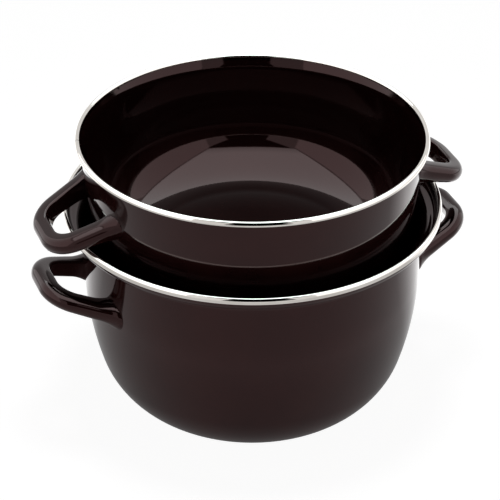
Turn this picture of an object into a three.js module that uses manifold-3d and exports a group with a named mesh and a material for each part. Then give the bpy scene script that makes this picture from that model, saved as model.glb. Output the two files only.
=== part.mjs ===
// Enamelled steel mussel pot. Its deep lid stands upright in the mouth, as a dish for the empty shells.
// Millimetres, +Z up. The origin is the middle of the pot's base, and the handles lie along X.

import * as THREE from 'three';
import { mergeVertices } from 'three/addons/utils/BufferGeometryUtils.js';
import Module from 'manifold-3d';

// Drawn steel sheet with its enamel, and the steel band crimped round each rim
const sheetThickness = 1.4;
const bandThickness = 0.8;
const bandHeight = 3.8;
const bandRounding = 1.2;
const crimpGap = 0.1;

// Pot shell, from the rim down: flared lip, straight wall, belly, knee and heel arcs, flat base
const potLipSpread = 11.6;
const potLipHeight = 13;
const potWallRadius = 107;
const potWallHeight = 28;
const potBellyRadius = 214;
const potBellyAngle = 16.6;
const potKneeRadius = 53.5;
const potHeelRadius = 28;
const potHeelAngle = 31.5;

// Dish shell, from the rim down: flared lip, sloping wall that clears the pot's wall, knee arc, flat base
const dishLipReturnRadius = 1.6;
const dishLipRun = 4.8;
const dishLipRadius = 14;
const dishLipAngle = 16;
const dishWallRun = 33;
const dishWallAngle = 6;
const dishSideGap = 2.75;
const dishKneeRadius = 40;

// Loop handles: bar section, half spans at wall and grip, corners, and arms that deepen to their feet
const handleWidth = 10.5;
const handleDepth = 11;
const handleRounding = 4.2;
const footHalfSpan = 29.3;
const gripHalfSpan = 20.8;
const handleCorner = 18;
const footSwellLength = 36;
const footSwellEase = 0.8;

// Handles on the pot rise outwards, and those on the dish drop outwards over the pot's rim
const potHandleDrop = 44.8;
const potHandleReach = 32.5;
const potHandleRiseAngle = 20.8;
const potFootSwell = 1.3;
const dishHandleDrop = 32.3;
const dishGripOverhang = 15;
const dishHandleFallAngle = 22.9;
const dishFootSwellAbove = 1.3;
const dishFootSwellBelow = 3.2;

// Gap between a foot and its wall, and between the dish's handles and the pot's rim that carries them
const weldGap = 0.3;
const restGap = 0.3;

// Fineness of the round surfaces, and the least flat left between two rounded corners
const turnSegments = 60;
const arcTolerance = 0.2;
const handleSteps = 26;
const cornerSteps = 2;
const leastFlat = 0.4;

const radians = THREE.MathUtils.degToRad;

// Sizes that follow from these
const bandSide = bandThickness + crimpGap;
const bandWidth = sheetThickness + 2 * bandSide;
const bandCorner = Math.min(bandRounding, (bandWidth - leastFlat) / 2);
const edgeHeight = bandHeight - bandSide;
const potRimRadius = potWallRadius + potLipSpread + bandSide;
const dishWallRadius = potWallRadius - sheetThickness - dishSideGap;
const barCorner = Math.min(handleRounding, (Math.min(handleWidth, handleDepth) - leastFlat) / 2);
const dishHandleRun = potRimRadius + dishGripOverhang - dishWallRadius;
const dishHandleReach = dishHandleRun / Math.cos(radians(dishHandleFallAngle));

const wasm = await Module();
wasm.setup();

// A run of straight legs and tangent arcs in the (radius, height) plane, shifted sideways by offset.
// Each leg is { length } or { radius, turn }, with turn in degrees, positive to the left.
function tracedLine(legs, offset) {
  const points = [new THREE.Vector2(0, offset)];
  let heading = 0;
  for (const leg of legs) {
    const from = points.at(-1);
    if (leg.length !== undefined) {
      const run = new THREE.Vector2(Math.cos(heading), Math.sin(heading)).multiplyScalar(leg.length);
      points.push(from.clone().add(run));
      continue;
    }
    const side = Math.sign(leg.turn);
    const radius = leg.radius - side * offset;
    const normal = new THREE.Vector2(-Math.sin(heading), Math.cos(heading)).multiplyScalar(side * radius);
    const centre = from.clone().add(normal);
    const stepAngle = 2 * Math.acos(1 - arcTolerance / leg.radius);
    const steps = Math.ceil(Math.abs(radians(leg.turn)) / stepAngle);
    for (let i = 1; i <= steps; i += 1) {
      const turned = normal.clone().rotateAround(new THREE.Vector2(), radians((leg.turn * i) / steps));
      points.push(centre.clone().sub(turned));
    }
    heading += radians(leg.turn);
  }
  return points;
}

// Two equal arcs that carry an upright wall outwards by spread over a given height, and back to upright.
function lipLegs(spread, height) {
  const turn = 2 * Math.atan(spread / height);
  const radius = height / (2 * Math.sin(turn));
  const degrees = THREE.MathUtils.radToDeg(turn);
  return [
    { radius, turn: -degrees },
    { radius, turn: degrees },
  ];
}

function potLegs() {
  const kneeAngle = 90 - potBellyAngle - potHeelAngle;
  const heelRun = potHeelRadius * Math.sin(radians(potHeelAngle));
  const kneeRun = potKneeRadius * (Math.cos(radians(potBellyAngle)) - Math.sin(radians(potHeelAngle)));
  const bellyRun = potBellyRadius * (1 - Math.cos(radians(potBellyAngle)));
  const baseRadius = potWallRadius - heelRun - kneeRun - bellyRun;
  return [
    { length: baseRadius },
    { radius: potHeelRadius, turn: potHeelAngle },
    { radius: potKneeRadius, turn: kneeAngle },
    { radius: potBellyRadius, turn: potBellyAngle },
    { length: potWallHeight },
    ...lipLegs(potLipSpread, potLipHeight),
    { length: edgeHeight },
  ];
}

function dishLegs() {
  return [
    { length: dishWallRadius - dishKneeRadius * Math.cos(radians(dishWallAngle)) },
    { radius: dishKneeRadius, turn: 90 - dishWallAngle },
    { length: dishWallRun },
    { radius: dishLipRadius, turn: -dishLipAngle },
    { length: dishLipRun },
    { radius: dishLipReturnRadius, turn: dishLipAngle + dishWallAngle },
    { length: edgeHeight },
  ];
}

// Solid of revolution about Z from (radius, height) points that run up the outside.
function turned(points) {
  return new THREE.LatheGeometry(points, turnSegments).rotateX(Math.PI / 2);
}

function shellGeometry(legs) {
  const outside = tracedLine(legs, 0);
  const inside = tracedLine(legs, sheetThickness).reverse();
  return turned([...outside, ...inside]);
}

// Height of a rim's top above the underside of its shell.
function rimTop(legs) {
  return tracedLine(legs, 0).at(-1).y + bandSide;
}

// Outer radius of the band on a shell's edge.
function rimRadius(legs) {
  return tracedLine(legs, 0).at(-1).x + bandSide;
}

// Band of U section over a shell's edge, with its top at height 0.
function bandGeometry(outer) {
  const inner = outer - bandWidth;
  const slotOuter = outer - bandThickness;
  const slotInner = inner + bandThickness;
  const section = new THREE.Path();
  section.moveTo(slotOuter, -bandHeight);
  section.lineTo(outer, -bandHeight);
  section.lineTo(outer, -bandCorner);
  section.absarc(outer - bandCorner, -bandCorner, bandCorner, 0, Math.PI / 2);
  section.absarc(inner + bandCorner, -bandCorner, bandCorner, Math.PI / 2, Math.PI);
  section.lineTo(inner, -bandHeight);
  section.lineTo(slotInner, -bandHeight);
  section.lineTo(slotInner, -bandThickness);
  section.lineTo(slotOuter, -bandThickness);
  section.lineTo(slotOuter, -bandHeight);
  return turned(section.getPoints(cornerSteps));
}

// Centre line of a loop handle in its own plane: x outwards from the wall, y along the wall.
class LoopLine extends THREE.Curve {
  constructor(reach, rootDepth) {
    super();
    const lean = Math.atan((footHalfSpan - gripHalfSpan) / reach);
    const bend = Math.PI / 2 - lean;
    const setBack = handleCorner * Math.tan(bend / 2);
    const centreX = reach - handleCorner;
    const centreY = gripHalfSpan - setBack;
    const rootHalf = footHalfSpan + rootDepth * Math.tan(lean);
    const armEnd = centreX + handleCorner * Math.cos(bend);
    const armEndHalf = centreY + handleCorner * Math.sin(bend);
    this.outline = new THREE.Path();
    this.outline.moveTo(-rootDepth, rootHalf);
    this.outline.lineTo(armEnd, armEndHalf);
    this.outline.absarc(centreX, centreY, handleCorner, bend, 0, true);
    this.outline.absarc(centreX, -centreY, handleCorner, 0, -bend, true);
    this.outline.lineTo(-rootDepth, -rootHalf);
  }

  getPoint(t) {
    const flat = this.outline.getPoint(t);
    return new THREE.Vector3(flat.x, flat.y, 0);
  }
}

// Rounded bar section, with its depth along x because the swept frame lays x across the loop's plane.
function barSection() {
  const x = handleDepth / 2 - barCorner;
  const y = handleWidth / 2 - barCorner;
  const section = new THREE.Shape();
  section.absarc(x, y, barCorner, 0, Math.PI / 2);
  section.absarc(-x, y, barCorner, Math.PI / 2, Math.PI);
  section.absarc(-x, -y, barCorner, Math.PI, 1.5 * Math.PI);
  section.absarc(x, -y, barCorner, 1.5 * Math.PI, 2 * Math.PI);
  section.closePath();
  return section;
}

// Half the bar's depth at a distance out from the wall: the arms deepen towards their feet.
function barHalfDepth(out, swell) {
  const away = THREE.MathUtils.clamp(out / footSwellLength, 0, 1);
  return handleDepth / 2 + swell * (1 - away) ** footSwellEase;
}

function swellFeet(geometry, swellAbove, swellBelow) {
  const position = geometry.getAttribute('position');
  for (let i = 0; i < position.count; i += 1) {
    const z = position.getZ(i);
    const swell = z > 0 ? swellAbove : swellBelow;
    const growth = barHalfDepth(position.getX(i), swell) / (handleDepth / 2);
    position.setZ(i, z * growth);
  }
}

function solidOf(geometry) {
  const bare = geometry.clone();
  bare.deleteAttribute('normal');
  bare.deleteAttribute('uv');
  const merged = mergeVertices(bare);
  const vertProperties = Float32Array.from(merged.getAttribute('position').array);
  const triVerts = Uint32Array.from(merged.getIndex().array);
  return new wasm.Manifold(new wasm.Mesh({ numProp: 3, vertProperties, triVerts }));
}

function geometryOf(solid) {
  const mesh = solid.getMesh();
  const geometry = new THREE.BufferGeometry();
  geometry.setAttribute('position', new THREE.BufferAttribute(mesh.vertProperties, 3));
  geometry.setIndex(new THREE.BufferAttribute(mesh.triVerts, 1));
  geometry.computeVertexNormals();
  return geometry;
}

// Solid that fills a shell and stands proud of its outer face by the weld gap.
function wallCutter(legs) {
  const outside = tracedLine(legs, -weldGap);
  const top = new THREE.Vector2(0, outside.at(-1).y);
  return solidOf(turned([...outside, top]));
}

// Length of arm inside a round wall before it is trimmed, so that both sides of a foot reach the wall.
function rootDepth(wallRadius) {
  const footEdge = footHalfSpan + handleWidth;
  return wallRadius - Math.sqrt(wallRadius ** 2 - footEdge ** 2) + handleDepth;
}

// One loop handle on the +X side, tilted about the wall point, and trimmed to the wall it is welded to.
function handleGeometry(legs, { wallRadius, footHeight, reach, rise, swellAbove, swellBelow }) {
  const bar = new THREE.ExtrudeGeometry(barSection(), {
    steps: handleSteps,
    curveSegments: cornerSteps,
    extrudePath: new LoopLine(reach, rootDepth(wallRadius)),
  });
  swellFeet(bar, swellAbove, swellBelow);
  bar.rotateY(-radians(rise));
  bar.translate(wallRadius, 0, footHeight);
  return geometryOf(solidOf(bar).subtract(wallCutter(legs)));
}

function brownEnamel() {
  return new THREE.MeshStandardMaterial({ color: 0x2a1c1c, roughness: 0.12, metalness: 0 });
}

function polishedSteel() {
  return new THREE.MeshStandardMaterial({ color: 0xc9c7c3, roughness: 0.2, metalness: 1 });
}

function piece(name, geometry, material) {
  const mesh = new THREE.Mesh(geometry, material);
  mesh.name = name;
  return mesh;
}

// Shell, band and two handles of the pot or the dish.
function vessel(name, legs, handle) {
  const group = new THREE.Group();
  group.add(piece(`${name}_body`, shellGeometry(legs), brownEnamel()));
  const band = piece(`${name}_rim_ring`, bandGeometry(rimRadius(legs)), polishedSteel());
  band.position.z = rimTop(legs);
  group.add(band);
  const right = piece(`${name}_handle_right`, handle, brownEnamel());
  const left = piece(`${name}_handle_left`, handle, brownEnamel());
  left.rotation.z = Math.PI;
  group.add(right, left);
  return group;
}

function pot() {
  const legs = potLegs();
  const handle = handleGeometry(legs, {
    wallRadius: potWallRadius,
    footHeight: rimTop(legs) - potHandleDrop,
    reach: potHandleReach,
    rise: potHandleRiseAngle,
    swellAbove: potFootSwell,
    swellBelow: potFootSwell,
  });
  return vessel('pot', legs, handle);
}

function dish() {
  const legs = dishLegs();
  const handle = handleGeometry(legs, {
    wallRadius: dishWallRadius,
    footHeight: rimTop(legs) - dishHandleDrop,
    reach: dishHandleReach,
    rise: -dishHandleFallAngle,
    swellAbove: dishFootSwellAbove,
    swellBelow: dishFootSwellBelow,
  });
  return vessel('dish', legs, handle);
}

// Height of the dish's rim above the pot's rim, with the dish's handle arms lying on the pot's rim.
function dishStandHeight() {
  const fall = radians(dishHandleFallAngle);
  const seatRadius = potRimRadius - bandCorner;
  const armOut = (seatRadius - dishWallRadius) / Math.cos(fall);
  const armHalfSpan = footHalfSpan - ((footHalfSpan - gripHalfSpan) * armOut) / dishHandleReach;
  const flatHalfWidth = handleWidth / 2 - barCorner;
  const seatX = Math.sqrt(seatRadius ** 2 - (armHalfSpan - flatHalfWidth) ** 2);
  const seatOut = (seatX - dishWallRadius) / Math.cos(fall);
  const armDrop = dishHandleDrop + seatOut * Math.sin(fall);
  return armDrop + barHalfDepth(seatOut, dishFootSwellBelow) / Math.cos(fall) + restGap;
}

const model = new THREE.Group();
const lowerPot = pot();
const upperDish = dish();
upperDish.position.z = rimTop(potLegs()) + dishStandHeight() - rimTop(dishLegs());
model.add(lowerPot, upperDish);

export default model;
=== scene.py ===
"""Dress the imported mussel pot: enamelled shells, crimped steel rim bands and loop handles.

Blender works in metres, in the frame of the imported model. Sizes below are written in millimetres and
angles in degrees. Only the studio's cards, floor and lamp are placed in metres.
"""

import logging
import math
from abc import ABC, abstractmethod
from dataclasses import dataclass
from enum import Enum
from functools import cached_property
from itertools import pairwise

import bpy
from mathutils import Color, Matrix, Vector


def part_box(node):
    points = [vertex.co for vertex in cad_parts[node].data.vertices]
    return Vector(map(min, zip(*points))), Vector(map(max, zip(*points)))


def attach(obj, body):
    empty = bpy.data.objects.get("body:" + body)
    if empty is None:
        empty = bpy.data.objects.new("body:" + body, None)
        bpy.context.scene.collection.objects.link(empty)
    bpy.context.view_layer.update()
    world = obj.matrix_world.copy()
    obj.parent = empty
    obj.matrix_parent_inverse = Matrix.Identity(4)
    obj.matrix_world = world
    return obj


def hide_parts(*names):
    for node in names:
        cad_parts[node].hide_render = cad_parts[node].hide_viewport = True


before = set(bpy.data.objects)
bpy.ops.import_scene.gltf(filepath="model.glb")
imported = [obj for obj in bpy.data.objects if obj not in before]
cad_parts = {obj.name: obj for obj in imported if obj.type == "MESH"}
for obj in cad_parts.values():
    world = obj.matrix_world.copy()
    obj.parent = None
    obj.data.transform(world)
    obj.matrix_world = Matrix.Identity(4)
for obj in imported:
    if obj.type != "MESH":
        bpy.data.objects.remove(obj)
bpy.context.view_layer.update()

MM = 0.001
MERGE_DISTANCE = 0.01 * MM
TURN_STEPS = 240
SMOOTH_ANGLE = 50.0
CARD_HALF = 0.5
WHITE = "ffffff"

log = logging.getLogger("mussel_pot")

Profile = list[tuple[float, float]]


class Slot(Enum):
    """The record's material slots."""

    ENAMEL = "enamel"
    RIM_STEEL = "rim_steel"


class Side(Enum):
    """Turn about the pot's axis, in degrees, that carries a right handle to its place."""

    RIGHT = 0.0
    LEFT = 180.0


# Mesh building

def deselect_all() -> None:
    """Leave edit mode and clear the selection."""
    if bpy.context.mode != "OBJECT":
        bpy.ops.object.mode_set(mode="OBJECT")
    bpy.ops.object.select_all(action="DESELECT")


def apply_modifier(piece: bpy.types.Object, kind: str, **settings: object) -> None:
    """Add a modifier to a piece and apply it.

    Args:
        piece: The mesh object that takes the modifier.
        kind: Blender's name for the kind of modifier.
        settings: The modifier's properties.
    """
    deselect_all()
    piece.select_set(True)
    bpy.context.view_layer.objects.active = piece
    modifier = piece.modifiers.new(kind.lower(), kind)
    for name, value in settings.items():
        setattr(modifier, name, value)
    bpy.ops.object.modifier_apply(modifier=modifier.name)


def drawn_line(name: str, points: Profile) -> bpy.types.Object:
    """Draw a line of edges in the XZ plane, and stay in edit mode with all of it selected.

    Args:
        name: Name of the new object.
        points: Radius and height of each point, in millimetres.

    Returns:
        The object that holds the line.
    """
    deselect_all()
    bpy.ops.mesh.primitive_plane_add(size=MM)
    line = bpy.context.object
    line.name = line.data.name = name
    bpy.ops.object.mode_set(mode="EDIT")
    bpy.ops.mesh.merge(type="CENTER")
    first_radius, first_height = points[0]
    bpy.ops.transform.translate(value=(first_radius * MM, 0.0, first_height * MM))
    for (radius, height), (next_radius, next_height) in pairwise(points):
        step = ((next_radius - radius) * MM, 0.0, (next_height - height) * MM)
        bpy.ops.mesh.extrude_region_move(TRANSFORM_OT_translate={"value": step})
    bpy.ops.mesh.select_all(action="SELECT")
    return line


def turned(name: str, points: Profile, gap: float = 0.0) -> bpy.types.Object:
    """Spin a profile about the pot's axis into a closed solid.

    Args:
        name: Name of the new object.
        points: Radius and height of each point of the profile, in millimetres.
        gap: Angle in radians left open at the end of the turn, with both ends closed off.

    Returns:
        The turned object, in object mode.
    """
    solid = drawn_line(name, points)
    bpy.ops.mesh.spin(steps=TURN_STEPS, angle=math.tau - gap, center=(0, 0, 0), axis=(0, 0, 1))
    bpy.ops.mesh.select_all(action="SELECT")
    bpy.ops.mesh.remove_doubles(threshold=MERGE_DISTANCE)
    bpy.ops.mesh.fill_holes(sides=0)
    bpy.ops.mesh.select_all(action="SELECT")
    bpy.ops.mesh.normals_make_consistent(inside=False)
    bpy.ops.object.mode_set(mode="OBJECT")
    return solid


def rotated_copy(piece: bpy.types.Object, name: str, degrees: float) -> bpy.types.Object:
    """Copy a piece, with a mesh of its own, turned about the pot's axis.

    Args:
        piece: The piece to copy.
        name: Name of the copy.
        degrees: Angle of the turn.

    Returns:
        The copy, with its place in its mesh.
    """
    copy = piece.copy()
    copy.data = piece.data.copy()
    copy.name = copy.data.name = name
    bpy.context.collection.objects.link(copy)
    copy.data.transform(Matrix.Rotation(math.radians(degrees), 4, "Z"))
    return copy


@dataclass(frozen=True)
class Leg:
    """One stretch of a wall's outline: straight over length, or an arc of radius through turn degrees."""

    length: float = 0.0
    radius: float = 0.0
    turn: float = 0.0


@dataclass(frozen=True)
class Tracer:
    """Walks along legs in the plane of radius and height."""

    straight_step: float = 6.0
    arc_step: float = 2.5

    def line(self, legs: list[Leg], offset: float) -> Profile:
        """Trace the legs from the axis outwards.

        Args:
            legs: The stretches, each tangent to the one before it.
            offset: Distance of the line to the left of the legs, towards the inside of the shell.

        Returns:
            The points of the line.
        """
        radius, height, heading = 0.0, offset, 0.0
        points = [(radius, height)]
        for leg in legs:
            if leg.turn == 0.0:
                steps = math.ceil(leg.length / self.straight_step)
                for _ in range(steps):
                    radius += leg.length / steps * math.cos(heading)
                    height += leg.length / steps * math.sin(heading)
                    points.append((radius, height))
                continue
            side = math.copysign(1.0, leg.turn)
            reach = side * (leg.radius - side * offset)
            middle_radius = radius - reach * math.sin(heading)
            middle_height = height + reach * math.cos(heading)
            steps = math.ceil(abs(leg.turn) / self.arc_step)
            start = heading
            for step in range(1, steps + 1):
                heading = start + math.radians(leg.turn) * step / steps
                radius = middle_radius + reach * math.sin(heading)
                height = middle_height - reach * math.cos(heading)
                points.append((radius, height))
        return points


TRACER = Tracer()


# Materials

def linear(hex_colour: str) -> tuple[float, float, float, float]:
    """Turn an sRGB hex colour into the linear colour that a shader takes.

    Args:
        hex_colour: Six hex digits.

    Returns:
        Linear red, green, blue and an alpha of 1.
    """
    channels = [int(hex_colour[i:i + 2], 16) / 255 for i in (0, 2, 4)]
    red, green, blue = Color(channels).from_srgb_to_scene_linear()
    return red, green, blue, 1.0


def add_node(
        tree: bpy.types.NodeTree, kind: str, inputs: dict | None = None,
        **settings: object) -> bpy.types.Node:
    """Add a node with its settings, input values and links.

    Args:
        tree: The node tree that takes the node.
        kind: The node's type.
        inputs: For an input's name or number, either its value or the output that feeds it.
        settings: The node's own properties.

    Returns:
        The new node.
    """
    node = tree.nodes.new(kind)
    for name, value in settings.items():
        setattr(node, name, value)
    for key, value in (inputs or {}).items():
        if isinstance(value, bpy.types.NodeSocket):
            tree.links.new(value, node.inputs[key])
        else:
            node.inputs[key].default_value = value
    return node


def empty_tree(name: str) -> tuple[bpy.types.Material, bpy.types.NodeTree]:
    """Make a material with an empty node tree.

    Args:
        name: Name of the material.

    Returns:
        The material and its tree.
    """
    material = bpy.data.materials.new(name)
    material.use_nodes = True
    material.node_tree.nodes.clear()
    return material, material.node_tree


@dataclass(frozen=True)
class VitreousEnamel:
    """Dark brown vitreous enamel, fired on drawn steel.

    A glass coat: mirror-like, with the slight waviness that enamel keeps from flowing in the kiln,
    and a colour that shifts a little where the coat is thicker.
    """

    name: str = "vitreous_enamel_on_drawn_steel"
    thick_colour: str = "1f0c0c"
    thin_colour: str = "26100f"
    mirror_tint: str = "ffcece"
    ior: float = 1.36
    roughness_low: float = 0.035
    roughness_high: float = 0.075
    cloud_size: float = 45.0
    cloud_detail: float = 3.0
    cloud_contrast: float = 0.55
    thick_level: float = 0.35
    thin_level: float = 0.65
    gloss_level: float = 0.3
    dull_level: float = 0.7
    wave_size: float = 9.0
    wave_detail: float = 1.0
    wave_height: float = 0.004

    def material(self) -> bpy.types.Material:
        """Build the enamel's material.

        Returns:
            The material.
        """
        material, tree = empty_tree(self.name)
        place = add_node(tree, "ShaderNodeTexCoord").outputs["Object"]
        clouds = add_node(tree, "ShaderNodeTexNoise", {
            "Vector": place, "Scale": 1 / (self.cloud_size * MM),
            "Detail": self.cloud_detail, "Roughness": self.cloud_contrast,
        }).outputs["Fac"]
        colour = add_node(tree, "ShaderNodeValToRGB", {"Fac": clouds})
        colour.color_ramp.elements[0].position = self.thick_level
        colour.color_ramp.elements[0].color = linear(self.thick_colour)
        colour.color_ramp.elements[1].position = self.thin_level
        colour.color_ramp.elements[1].color = linear(self.thin_colour)
        roughness = add_node(tree, "ShaderNodeMapRange", {
            "Value": clouds, "From Min": self.gloss_level, "From Max": self.dull_level,
            "To Min": self.roughness_low, "To Max": self.roughness_high,
        }).outputs["Result"]
        waves = add_node(tree, "ShaderNodeTexNoise", {
            "Vector": place, "Scale": 1 / (self.wave_size * MM), "Detail": self.wave_detail,
        }).outputs["Fac"]
        bump = add_node(tree, "ShaderNodeBump", {
            "Height": waves, "Strength": 1.0, "Distance": self.wave_height * MM,
        }).outputs["Normal"]
        shader = add_node(tree, "ShaderNodeBsdfPrincipled", {
            "Base Color": colour.outputs["Color"], "Roughness": roughness, "Normal": bump,
            "IOR": self.ior, "Specular Tint": linear(self.mirror_tint),
        })
        add_node(tree, "ShaderNodeOutputMaterial", {"Surface": shader.outputs["BSDF"]})
        return material


@dataclass(frozen=True)
class PolishedStainless:
    """Stainless steel band, rolled and polished round the rim.

    Bright metal whose fine lines run round the rim and draw reflections out along it.
    """

    name: str = "polished_stainless_steel"
    dull_colour: str = "c4bfb9"
    bright_colour: str = "dedad5"
    roughness_low: float = 0.03
    roughness_high: float = 0.09
    # Real polishing lines are finer than a tenth of a millimetre. These are as coarse as they need to show
    line_spacing: float = 0.6
    line_detail: float = 2.0
    line_height: float = 0.002
    mark_length: float = 30.0
    mark_detail: float = 4.0
    mark_contrast: float = 0.6
    dull_level: float = 0.12
    bright_level: float = 0.4
    gloss_level: float = 0.1

    def material(self) -> bpy.types.Material:
        """Build the steel's material, with lines that follow the rim's round.

        Returns:
            The material.
        """
        material, tree = empty_tree(self.name)
        place = add_node(tree, "ShaderNodeTexCoord").outputs["Object"]
        parts = add_node(tree, "ShaderNodeSeparateXYZ", {"Vector": place}).outputs
        flat = add_node(tree, "ShaderNodeCombineXYZ", {"X": parts["X"], "Y": parts["Y"]}).outputs["Vector"]
        radius = add_node(tree, "ShaderNodeVectorMath", {0: flat}, operation="LENGTH").outputs["Value"]
        section = add_node(tree, "ShaderNodeCombineXYZ", {"X": radius, "Y": parts["Z"]}).outputs["Vector"]
        lines = add_node(tree, "ShaderNodeTexNoise", {
            "Vector": section, "Scale": 1 / (self.line_spacing * MM), "Detail": self.line_detail,
        }).outputs["Fac"]
        marks = add_node(tree, "ShaderNodeTexNoise", {
            "Vector": place, "Scale": 1 / (self.mark_length * MM),
            "Detail": self.mark_detail, "Roughness": self.mark_contrast,
        }).outputs["Fac"]
        mixed = add_node(tree, "ShaderNodeMath", {0: lines, 1: marks}, operation="MULTIPLY").outputs["Value"]
        colour = add_node(tree, "ShaderNodeValToRGB", {"Fac": mixed})
        colour.color_ramp.elements[0].position = self.dull_level
        colour.color_ramp.elements[0].color = linear(self.dull_colour)
        colour.color_ramp.elements[1].position = self.bright_level
        colour.color_ramp.elements[1].color = linear(self.bright_colour)
        roughness = add_node(tree, "ShaderNodeMapRange", {
            "Value": mixed, "From Min": self.gloss_level, "From Max": self.bright_level,
            "To Min": self.roughness_low, "To Max": self.roughness_high,
        }).outputs["Result"]
        bump = add_node(tree, "ShaderNodeBump", {
            "Height": lines, "Strength": 1.0, "Distance": self.line_height * MM,
        }).outputs["Normal"]
        shader = add_node(tree, "ShaderNodeBsdfPrincipled", {
            "Base Color": colour.outputs["Color"], "Roughness": roughness, "Normal": bump, "Metallic": 1.0,
        })
        add_node(tree, "ShaderNodeOutputMaterial", {"Surface": shader.outputs["BSDF"]})
        return material


@dataclass(frozen=True)
class Finishes:
    """The two materials that the pieces share."""

    enamel: bpy.types.Material
    steel: bpy.types.Material


# Pieces of the pot and the dish

@dataclass
class Vessel(ABC):
    """A turned shell with a crimped rim band and two loop handles."""

    body: str
    sheet: float = 1.4
    band_height: float = 3.8
    band_skin: float = 0.8
    band_side: float = 0.9

    @abstractmethod
    def legs(self) -> list[Leg]:
        """Stretches of the shell's line, from the axis out and up to the rim."""

    @property
    def edge_height(self) -> float:
        """Upright edge of the sheet inside the band."""
        return self.band_height - self.band_side

    @cached_property
    def foot(self) -> float:
        """Height of the shell's underside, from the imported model."""
        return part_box(f"{self.body}_body")[0].z / MM

    @cached_property
    def outside(self) -> Profile:
        """Outer line of the shell in its place."""
        return self.offset_line(0.0)

    def offset_line(self, offset: float) -> Profile:
        """Trace the shell's line in its place, shifted inwards by an offset."""
        return [(radius, height + self.foot) for radius, height in TRACER.line(self.legs(), offset)]

    def wall_radius_at(self, height: float) -> float:
        """Find the shell's outer radius at a height.

        Args:
            height: Height above the floor.

        Returns:
            The radius.
        """
        for (radius, low), (next_radius, high) in pairwise(self.outside):
            if low <= height <= high and high > low:
                return radius + (next_radius - radius) * (height - low) / (high - low)
        return self.outside[-1][0]

    def build_shell(self, finishes: Finishes) -> bpy.types.Object:
        """Turn the enamelled shell.

        Args:
            finishes: The shared materials.

        Returns:
            The shell.
        """
        inside = self.offset_line(self.sheet)
        shell = turned(f"{self.body}_enamel_shell", self.outside + inside[::-1])
        return self.dressed(shell, f"{self.body}_body", finishes.enamel, Slot.ENAMEL)

    def dressed(
            self, piece: bpy.types.Object, node: str, finish: bpy.types.Material,
            slot: Slot) -> bpy.types.Object:
        """Give a piece its finish and its place in the frame.

        Args:
            piece: The finished mesh object.
            node: The CAD node that it stands for.
            finish: Its material.
            slot: The record's slot that the finish belongs to; not used.

        Returns:
            The piece.
        """
        deselect_all()
        piece.select_set(True)
        bpy.context.view_layer.objects.active = piece
        bpy.ops.object.shade_smooth_by_angle(angle=math.radians(SMOOTH_ANGLE))
        piece.data.materials.clear()
        piece.data.materials.append(finish)
        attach(piece, self.body)
        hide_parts(node)
        log.info("%s: %d faces", piece.name, len(piece.data.polygons))
        return piece


@dataclass
class Pot(Vessel):
    """Deep pot with a round bottom."""

    body: str = "pot"
    lip_spread: float = 11.6
    lip_height: float = 13.0
    wall_radius: float = 107.0
    wall_height: float = 28.0
    belly_radius: float = 214.0
    belly_angle: float = 16.6
    knee_radius: float = 53.5
    heel_radius: float = 28.0
    heel_angle: float = 31.5

    def lip(self) -> list[Leg]:
        """Carry the wall outwards and back to upright in two equal arcs.

        Returns:
            The two arcs.
        """
        turn = 2 * math.atan(self.lip_spread / self.lip_height)
        radius = self.lip_height / (2 * math.sin(turn))
        return [Leg(radius=radius, turn=-math.degrees(turn)), Leg(radius=radius, turn=math.degrees(turn))]

    def legs(self) -> list[Leg]:
        """Lay out the pot's wall.

        Returns:
            The stretches, from the axis out and up to the rim.
        """
        belly = math.radians(self.belly_angle)
        heel = math.radians(self.heel_angle)
        heel_run = self.heel_radius * math.sin(heel)
        knee_run = self.knee_radius * (math.cos(belly) - math.sin(heel))
        belly_run = self.belly_radius * (1 - math.cos(belly))
        return [
            Leg(length=self.wall_radius - heel_run - knee_run - belly_run),
            Leg(radius=self.heel_radius, turn=self.heel_angle),
            Leg(radius=self.knee_radius, turn=90 - self.belly_angle - self.heel_angle),
            Leg(radius=self.belly_radius, turn=self.belly_angle),
            Leg(length=self.wall_height),
            *self.lip(),
            Leg(length=self.edge_height),
        ]


@dataclass
class Dish(Vessel):
    """Deep lid that stands upright in the pot's mouth as a dish."""

    body: str = "dish"
    lip_return_radius: float = 1.6
    lip_run: float = 4.2
    lip_radius: float = 14.0
    lip_angle: float = 16.0
    wall_run: float = 33.0
    wall_angle: float = 6.0
    wall_radius: float = 102.85
    knee_radius: float = 40.0
    ledge_rise: float = 0.4
    inner_wall_rise: float = 2.4
    inner_edge: float = 1.07

    def wall_legs(self) -> list[Leg]:
        """Lay out the dish's wall below its lip.

        Returns:
            The stretches, from the axis out and up.
        """
        return [
            Leg(length=self.wall_radius - self.knee_radius * math.cos(math.radians(self.wall_angle))),
            Leg(radius=self.knee_radius, turn=90.0 - self.wall_angle),
            Leg(length=self.wall_run),
        ]

    @cached_property
    def outside(self) -> Profile:
        """Trace the shell's outer line in its place, straight up the wall to a ledge under the band.

        Returns:
            The points of the line.
        """
        wall = [(radius, height + self.foot) for radius, height in TRACER.line(self.wall_legs(), 0.0)]
        wall_radius, wall_top = wall[-1]
        edge_radius, top = self.offset_line(0.0)[-1]
        ledge = top - self.edge_height
        ledge_radius = wall_radius + (ledge - wall_top) * math.tan(math.radians(self.wall_angle))
        return [*wall, (ledge_radius, ledge), (edge_radius, ledge + self.ledge_rise), (edge_radius, top)]

    def legs(self) -> list[Leg]:
        """Lay out the dish's wall and the lip that shows inside it.

        Returns:
            The stretches, from the axis out and up to the rim.
        """
        return [
            *self.wall_legs(),
            Leg(length=self.inner_wall_rise),
            Leg(radius=self.lip_radius, turn=-self.lip_angle),
            Leg(length=self.lip_run),
            Leg(radius=self.lip_return_radius, turn=self.lip_angle + self.wall_angle),
            Leg(length=self.inner_edge),
        ]


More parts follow.
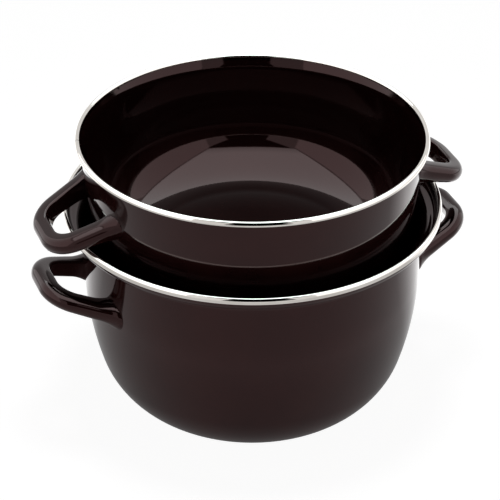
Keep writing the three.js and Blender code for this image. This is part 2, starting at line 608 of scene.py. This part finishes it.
@dataclass
class RimBand:
    """Steel band of U section over a shell's edge, crowned outside, rolled inside, with a butt seam."""

    vessel: Vessel
    seam_azimuth: float
    height: float
    seam_gap: float = 0.4
    inner_height: float = 2.0
    crown_radius: float = 4.1
    crown_angle: float = 38.0
    top_radius: float = 0.7
    arc_steps: int = 10

    def arc(self, centre: tuple[float, float], radius: float, start: float, end: float) -> Profile:
        """Points along an arc of the section.

        Args:
            centre: Radius and height of the arc's centre.
            radius: The arc's own radius.
            start: Angle of its first point, in degrees from straight out.
            end: Angle of its last point.

        Returns:
            The arc's points.
        """
        points = []
        for step in range(self.arc_steps + 1):
            angle = math.radians(start + (end - start) * step / self.arc_steps)
            points.append((centre[0] + radius * math.cos(angle), centre[1] + radius * math.sin(angle)))
        return points

    def section(self) -> Profile:
        """Trace the band's section, from its lower outer corner up, over the edge and back inside.

        Returns:
            The points of the closed section.
        """
        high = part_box(f"{self.vessel.body}_rim_ring")[1]
        outer = high.x / MM
        top = high.z / MM
        bottom = top - self.height
        inner = outer - self.vessel.sheet - 2 * self.vessel.band_side
        skin = self.vessel.band_skin
        turn = math.radians(self.crown_angle)
        top_centre = (
            outer - self.crown_radius + (self.crown_radius - self.top_radius) * math.cos(turn),
            top - self.top_radius)
        crown_centre = (
            outer - self.crown_radius,
            top_centre[1] - (self.crown_radius - self.top_radius) * math.sin(turn))
        roll_radius = top_centre[0] - inner
        roll_centre = (top_centre[0], top - roll_radius)
        return [
            (outer, bottom),
            *self.arc(crown_centre, self.crown_radius, 0.0, self.crown_angle),
            *self.arc(top_centre, self.top_radius, self.crown_angle, 90.0)[1:],
            *self.arc(roll_centre, roll_radius, 90.0, 180.0)[1:],
            (inner, top - self.inner_height),
            (inner + skin, top - self.inner_height),
            (inner + skin, top - skin),
            (outer - skin, top - skin),
            (outer - skin, bottom),
            (outer, bottom),
        ]

    def build(self, finishes: Finishes) -> bpy.types.Object:
        """Spin the band round the rim and close its two ends at the seam.

        Args:
            finishes: The shared materials.

        Returns:
            The band.
        """
        section = self.section()
        gap = self.seam_gap / section[0][0]
        band = turned(f"{self.vessel.body}_steel_band", section, gap)
        band.data.transform(Matrix.Rotation(math.radians(self.seam_azimuth), 4, "Z"))
        return self.vessel.dressed(band, f"{self.vessel.body}_rim_ring", finishes.steel, Slot.RIM_STEEL)


@dataclass
class LoopHandles:
    """Two loop handles of one vessel, welded to its wall."""

    vessel: Vessel
    drop: float
    reach: float
    rise: float
    swell_above: float
    swell_below: float
    width: float = 10.8
    depth: float = 11.0
    outer_rounding: float = 5.2
    inner_rounding: float = 1.6
    foot_half_span: float = 29.3
    grip_half_span: float = 20.8
    corner: float = 18.0
    swell_length: float = 36.0
    swell_ease: float = 0.8
    root: float = 12.0
    flare_length: float = 9.0
    flare_size: float = 2.4
    flare_ease: float = 2.0
    weld_depth: float = 0.3
    section_steps: int = 6
    corner_steps: int = 18
    arm_step: float = 1.0

    @property
    def foot_height(self) -> float:
        """Height at which the loop's plane meets the wall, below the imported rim."""
        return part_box(f"{self.vessel.body}_rim_ring")[1].z / MM - self.drop

    def swollen(self, out: float) -> tuple[float, float]:
        """Depth of an arm and the shift of its middle, at a distance out from the wall.

        Args:
            out: Distance from the wall in the loop's plane.

        Returns:
            The arm's depth and how far its middle lies above the loop's plane.
        """
        away = min(max(out / self.swell_length, 0.0), 1.0)
        ease = (1.0 - away) ** self.swell_ease
        above = self.swell_above * ease
        below = self.swell_below * ease
        return self.depth + above + below, (above - below) / 2

    def drawn_half(self) -> bpy.types.Object:
        """Draw one half of the loop in its own plane: half the grip, a corner and an arm.

        Returns:
            The half loop, with X outwards from the wall and Y along it, in object mode.
        """
        lean = math.atan((self.foot_half_span - self.grip_half_span) / self.reach)
        bend = math.pi / 2 - lean
        middle_x = self.reach - self.corner
        middle_y = self.grip_half_span - self.corner * math.tan(bend / 2)
        deselect_all()
        bpy.ops.mesh.primitive_plane_add(
            size=MM, location=(self.reach * MM, 0, 0), rotation=(math.pi / 2, 0, 0))
        half = bpy.context.object
        half.scale = (self.width, self.depth, 1.0)
        bpy.ops.object.transform_apply(location=True, rotation=True, scale=True)
        self.round_corners(half, self.reach + self.width / 2, self.outer_rounding)
        self.round_corners(half, self.reach - self.width / 2, self.inner_rounding)
        bpy.ops.mesh.select_all(action="SELECT")
        bpy.ops.mesh.delete(type="ONLY_FACE")
        bpy.ops.mesh.select_all(action="SELECT")
        bpy.ops.mesh.extrude_region_move(TRANSFORM_OT_translate={"value": (0, middle_y * MM, 0)})
        bpy.ops.mesh.spin(
            steps=self.corner_steps, angle=-bend, center=(middle_x * MM, middle_y * MM, 0), axis=(0, 0, 1))
        self.extrude_arm(middle_x + self.corner * math.cos(bend), lean)
        bpy.ops.object.mode_set(mode="OBJECT")
        return half

    def round_corners(self, section: bpy.types.Object, out: float, rounding: float) -> None:
        """Round the section's two corners at one distance from the wall, and stay in edit mode.

        Args:
            section: The flat section.
            out: The corners' distance from the wall.
            rounding: Radius of the rounding.
        """
        bpy.ops.object.mode_set(mode="EDIT")
        bpy.ops.mesh.select_all(action="DESELECT")
        bpy.ops.object.mode_set(mode="OBJECT")
        for vertex in section.data.vertices:
            vertex.select = abs(vertex.co.x - out * MM) < MERGE_DISTANCE
        bpy.ops.object.mode_set(mode="EDIT")
        bpy.ops.mesh.bevel(offset=rounding * MM, segments=self.section_steps, affect="VERTICES")

    def extrude_arm(self, start: float, lean: float) -> None:
        """Extrude the selected end of the corner inwards to the foot, deepening as it goes.

        Args:
            start: Distance from the wall at which the straight arm starts.
            lean: Angle of the arm to the outward direction.
        """
        run = start + self.root
        steps = math.ceil(run / self.arm_step)
        out = start
        depth, shift = self.swollen(out)
        for _ in range(steps):
            out -= run / steps
            next_depth, next_shift = self.swollen(out)
            step = (-run / steps * MM, run / steps * math.tan(lean) * MM, (next_shift - shift) * MM)
            bpy.ops.mesh.extrude_region_move(TRANSFORM_OT_translate={"value": step})
            bpy.ops.transform.resize(value=(1.0, 1.0, next_depth / depth))
            depth, shift = next_depth, next_shift

    def flare_feet(self, handle: bpy.types.Object) -> None:
        """Flare the arms where they meet the wall, as a weld under enamel does.

        Args:
            handle: The handle in its place.
        """
        group = handle.vertex_groups.new(name="feet")
        for vertex in handle.data.vertices:
            away = math.hypot(vertex.co.x, vertex.co.y) / MM - self.vessel.wall_radius_at(vertex.co.z / MM)
            share = min(max(1.0 - away / self.flare_length, 0.0), 1.0)
            group.add([vertex.index], share ** self.flare_ease, "REPLACE")
        apply_modifier(
            handle, "DISPLACE", direction="NORMAL", mid_level=0.0, strength=self.flare_size * MM,
            vertex_group=group.name)
        handle.vertex_groups.clear()

    def build_right(self) -> bpy.types.Object:
        """Model the right handle and trim its feet to the wall.

        Returns:
            The handle in its place.
        """
        handle = self.drawn_half()
        apply_modifier(handle, "MIRROR", use_axis=(False, True, False), merge_threshold=MERGE_DISTANCE)
        bpy.ops.object.mode_set(mode="EDIT")
        bpy.ops.mesh.select_all(action="SELECT")
        bpy.ops.mesh.fill_holes(sides=0)
        bpy.ops.mesh.select_all(action="SELECT")
        bpy.ops.mesh.normals_make_consistent(inside=False)
        bpy.ops.object.mode_set(mode="OBJECT")
        handle.rotation_euler = (0.0, -math.radians(self.rise), 0.0)
        handle.location = (self.vessel.wall_radius * MM, 0.0, self.foot_height * MM)
        bpy.ops.object.transform_apply(location=True, rotation=True, scale=True)
        self.flare_feet(handle)
        inside = self.vessel.offset_line(self.weld_depth)
        cutter = turned("wall_cutter", [*inside, (0.0, inside[-1][1])])
        apply_modifier(handle, "BOOLEAN", operation="DIFFERENCE", object=cutter, solver="EXACT")
        bpy.data.objects.remove(cutter)
        return handle

    def build(self, finishes: Finishes) -> list[bpy.types.Object]:
        """Model one handle and copy it to both sides.

        Args:
            finishes: The shared materials.

        Returns:
            The two handles.
        """
        right = self.build_right()
        handles = []
        for side in Side:
            name = f"{self.vessel.body}_loop_handle_{side.name.lower()}"
            handle = rotated_copy(right, name, side.value)
            node = f"{self.vessel.body}_handle_{side.name.lower()}"
            handles.append(self.vessel.dressed(handle, node, finishes.enamel, Slot.ENAMEL))
        bpy.data.objects.remove(right)
        return handles


# Camera, floor and light

@dataclass(frozen=True)
class Viewpoint:
    """The photograph's camera: where it stands, in degrees and millimetres, and what it aims at."""

    azimuth: float = -20.6
    elevation: float = 31.53
    roll: float = 0.25
    distance: float = 1448.66
    aim_height: float = 139.4
    aim_right: float = -1.16
    aim_up: float = -32.55
    focal_length: float = 165.6
    sensor: float = 36.0
    far_clip: float = 20000.0

    def axes(self) -> tuple[Vector, Vector, Vector]:
        """Work out the camera's directions before its roll.

        Returns:
            Its right, up and back directions.
        """
        azimuth = math.radians(self.azimuth)
        elevation = math.radians(self.elevation)
        right = Vector((math.cos(azimuth), math.sin(azimuth), 0.0))
        outward = Vector((math.sin(azimuth), -math.cos(azimuth), 0.0))
        back = outward * math.cos(elevation) + Vector((0.0, 0.0, math.sin(elevation)))
        return right, back.cross(right), back

    def make(self) -> bpy.types.Object:
        """Make the scene's camera.

        Returns:
            The camera object.
        """
        right, up, back = self.axes()
        aim = Vector((0.0, 0.0, self.aim_height)) + right * self.aim_right + up * self.aim_up
        turn = Matrix((right, up, back)).transposed() @ Matrix.Rotation(math.radians(self.roll), 3, "Z")
        data = bpy.data.cameras.new("photo_camera")
        data.lens = self.focal_length
        data.sensor_width = self.sensor
        data.clip_end = self.far_clip * MM
        camera = bpy.data.objects.new("photo_camera", data)
        bpy.context.collection.objects.link(camera)
        camera.matrix_world = Matrix.Translation((aim + back * self.distance) * MM) @ turn.to_4x4()
        bpy.context.scene.camera = camera
        return camera


@dataclass(frozen=True)
class Card:
    """A flat card of the studio that shows only in reflections, placed from the camera's point of view.

    Places are in metres: across to the camera's right, towards the camera, and up. Its brightness
    runs from its far or lower edge to its near or upper edge.
    """

    name: str
    across: float
    towards: float
    height: float
    width: float
    length: float
    tilt: float
    brightness_start: float
    brightness_end: float
    turn: float = 0.0
    widening: float = 1.0
    colour: str = WHITE
    fade: float = 1.0


CARDS = (
    Card(
        name="overhead_softbox", across=0.0, towards=-0.05, height=1.12, width=1.6, length=2.3, tilt=0.0,
        brightness_start=3.0, brightness_end=4.5, colour="ecffff", fade=0.16),
    Card(
        name="dark_room_low", across=0.1, towards=1.3, height=0.42, width=0.95, length=0.66, tilt=90.0,
        brightness_start=0.0, brightness_end=0.0, widening=0.72),
    Card(
        name="dark_room_high", across=0.1, towards=1.3, height=1.0, width=0.68, length=0.5, tilt=90.0,
        brightness_start=0.0, brightness_end=0.0, widening=2.7),
    Card(
        name="left_wall", across=-0.85, towards=0.25, height=0.61, width=1.95, length=1.02, tilt=90.0,
        brightness_start=2.1, brightness_end=2.1, turn=90.0),
    Card(
        name="right_wall", across=0.85, towards=0.25, height=0.61, width=1.95, length=1.02, tilt=90.0,
        brightness_start=1.9, brightness_end=1.9, turn=90.0),
)


@dataclass
class Studio:
    """White room, in metres: a floor and a world that show as white, a soft lamp and mirrored cards."""

    viewpoint: Viewpoint
    floor_size: float = 8.0
    floor_glow: float = 0.95
    floor_colour: str = "959595"
    floor_bounce: float = 0.85
    shade_inner: float = 0.06
    shade_outer: float = 0.2
    shade_glow: float = 0.1
    floor_card_radius: float = 0.9
    floor_card_corners: int = 96
    floor_turn: float = 2.0
    behind: float = -0.13
    behind_glow: float = 1.7
    before: float = -0.03
    before_glow: float = 0.8
    shade_lift: float = 0.0003
    room_glow: float = 0.03
    lamp_power: float = 3.0
    lamp_size: float = 0.3
    lamp_height: float = 1.3

    def seen_rays(self, tree: bpy.types.NodeTree) -> bpy.types.NodeSocket:
        """Tell rays that show the background, straight, mirrored or through glass, from the rest.

        Args:
            tree: The node tree that takes the nodes.

        Returns:
            An output that is 1 for the rays that show it.
        """
        rays = add_node(tree, "ShaderNodeLightPath").outputs
        seen = add_node(tree, "ShaderNodeMath", {
            0: rays["Is Camera Ray"], 1: rays["Is Glossy Ray"]}, operation="MAXIMUM").outputs["Value"]
        return add_node(tree, "ShaderNodeMath", {
            0: seen, 1: rays["Is Transmission Ray"]}, operation="MAXIMUM").outputs["Value"]

    def make_world(self) -> None:
        """Light the room evenly, and show it as white."""
        world = bpy.data.worlds.new("white_room")
        bpy.context.scene.world = world
        world.use_nodes = True
        tree = world.node_tree
        tree.nodes.clear()
        glow = add_node(tree, "ShaderNodeMapRange", {
            "Value": self.seen_rays(tree), "To Min": self.room_glow, "To Max": 1.0}).outputs["Result"]
        background = add_node(tree, "ShaderNodeBackground", {"Strength": glow, "Color": linear(WHITE)})
        add_node(tree, "ShaderNodeOutputWorld", {"Surface": background.outputs["Background"]})

    def make_floor(self) -> None:
        """Lay the white floor, which still takes the pot's shadow."""
        deselect_all()
        bpy.ops.mesh.primitive_plane_add(size=self.floor_size)
        floor = bpy.context.object
        floor.name = "white_floor"
        material, tree = empty_tree("white_floor")
        glow = add_node(tree, "ShaderNodeMapRange", {
            "Value": self.seen_rays(tree),
            "To Min": self.floor_bounce, "To Max": self.floor_glow}).outputs["Result"]
        shine = add_node(tree, "ShaderNodeEmission", {"Color": linear(WHITE), "Strength": glow})
        matt = add_node(tree, "ShaderNodeBsdfDiffuse", {"Color": linear(self.floor_colour)})
        both = add_node(tree, "ShaderNodeAddShader", {0: shine.outputs["Emission"], 1: matt.outputs["BSDF"]})
        add_node(tree, "ShaderNodeOutputMaterial", {"Surface": both.outputs["Shader"]})
        floor.data.materials.append(material)

    def make_card(self, card: Card) -> None:
        """Hang one card where only reflections show it.

        Args:
            card: The card's place, size and brightness.
        """
        right, _, back = self.viewpoint.axes()
        outward = Vector((back.x, back.y, 0.0)).normalized()
        deselect_all()
        bpy.ops.mesh.primitive_plane_add(size=2 * CARD_HALF)
        panel = bpy.context.object
        panel.name = card.name
        panel.scale = (card.width, card.length, 1.0)
        for corner in panel.data.vertices:
            corner.co.x *= card.widening if corner.co.y > 0 else 1.0
        turn = math.radians(self.viewpoint.azimuth + card.turn)
        panel.rotation_euler = (math.radians(card.tilt), 0.0, turn)
        panel.location = right * card.across + outward * card.towards + Vector((0.0, 0.0, card.height))
        material, tree = empty_tree(card.name)
        place = add_node(tree, "ShaderNodeTexCoord").outputs["Object"]
        along = add_node(tree, "ShaderNodeSeparateXYZ", {"Vector": place}).outputs["Y"]
        glow = add_node(tree, "ShaderNodeMapRange", {
            "Value": along, "From Min": -CARD_HALF, "From Max": card.fade - CARD_HALF,
            "To Min": card.brightness_start, "To Max": card.brightness_end}).outputs["Result"]
        self.finish_card(panel, material, glow, card.colour)

    def finish_card(
            self, panel: bpy.types.Object, material: bpy.types.Material, glow: bpy.types.NodeSocket,
            colour: str) -> None:
        """Let a card shine, and hide it from everything but reflections.

        Args:
            panel: The card.
            material: Its material.
            glow: The output that gives its brightness.
            colour: The colour of its light.
        """
        tree = material.node_tree
        shine = add_node(tree, "ShaderNodeEmission", {"Color": linear(colour), "Strength": glow})
        add_node(tree, "ShaderNodeOutputMaterial", {"Surface": shine.outputs["Emission"]})
        panel.data.materials.append(material)
        for kind in ("camera", "diffuse", "transmission", "volume_scatter", "shadow"):
            setattr(panel, f"visible_{kind}", False)

    def make_floor_shade(self) -> None:
        """Light the floor that the pot mirrors: dark round its foot, brighter behind it than before it."""
        deselect_all()
        bpy.ops.mesh.primitive_circle_add(
            vertices=self.floor_card_corners, radius=self.floor_card_radius, fill_type="NGON",
            location=(0.0, 0.0, self.shade_lift))
        disc = bpy.context.object
        disc.name = "mirrored_floor_shade"
        material, tree = empty_tree(disc.name)
        place = add_node(tree, "ShaderNodeTexCoord").outputs["Object"]
        out = add_node(tree, "ShaderNodeVectorMath", {0: place}, operation="LENGTH").outputs["Value"]
        shade = add_node(tree, "ShaderNodeMapRange", {
            "Value": out, "From Min": self.shade_inner, "From Max": self.shade_outer,
            "To Min": self.shade_glow, "To Max": 1.0}).outputs["Result"]
        azimuth = math.radians(self.viewpoint.azimuth - self.floor_turn)
        front = (math.sin(azimuth), -math.cos(azimuth), 0.0)
        forward = add_node(tree, "ShaderNodeVectorMath", {
            0: place, 1: front}, operation="DOT_PRODUCT").outputs["Value"]
        light = add_node(tree, "ShaderNodeMapRange", {
            "Value": forward, "From Min": self.behind, "From Max": self.before,
            "To Min": self.behind_glow, "To Max": self.before_glow}).outputs["Result"]
        glow = add_node(tree, "ShaderNodeMath", {0: shade, 1: light}, operation="MULTIPLY").outputs["Value"]
        self.finish_card(disc, material, glow, WHITE)

    def make_lamp(self) -> None:
        """Hang the soft lamp overhead, unseen in reflections."""
        data = bpy.data.lights.new("overhead_lamp", "AREA")
        data.shape = "DISK"
        data.size = self.lamp_size
        data.energy = self.lamp_power
        lamp = bpy.data.objects.new("overhead_lamp", data)
        lamp.location = (0.0, 0.0, self.lamp_height)
        lamp.visible_glossy = False
        bpy.context.collection.objects.link(lamp)

    def build(self) -> None:
        """Set up the room, its cards and its lamp."""
        self.make_world()
        self.make_floor()
        self.make_lamp()
        self.make_floor_shade()
        for card in CARDS:
            self.make_card(card)


def main() -> None:
    """Build the pot and the dish, then the room round them."""
    logging.basicConfig(level=logging.INFO)
    bpy.context.scene.view_settings.view_transform = "Standard"
    finishes = Finishes(VitreousEnamel().material(), PolishedStainless().material())
    pot = Pot()
    dish = Dish()
    pot.build_shell(finishes)
    RimBand(pot, seam_azimuth=75.0, height=3.8).build(finishes)
    dish.build_shell(finishes)
    RimBand(dish, seam_azimuth=165.0, height=2.8).build(finishes)
    LoopHandles(pot, drop=44.8, reach=32.5, rise=20.8, swell_above=1.3, swell_below=1.3).build(finishes)
    LoopHandles(
        dish, drop=32.3, reach=34.36, rise=-22.9, swell_above=1.3, swell_below=3.2,
        flare_size=1.2).build(finishes)
    viewpoint = Viewpoint()
    viewpoint.make()
    Studio(viewpoint).build()


if __name__ == "__main__":
    main()
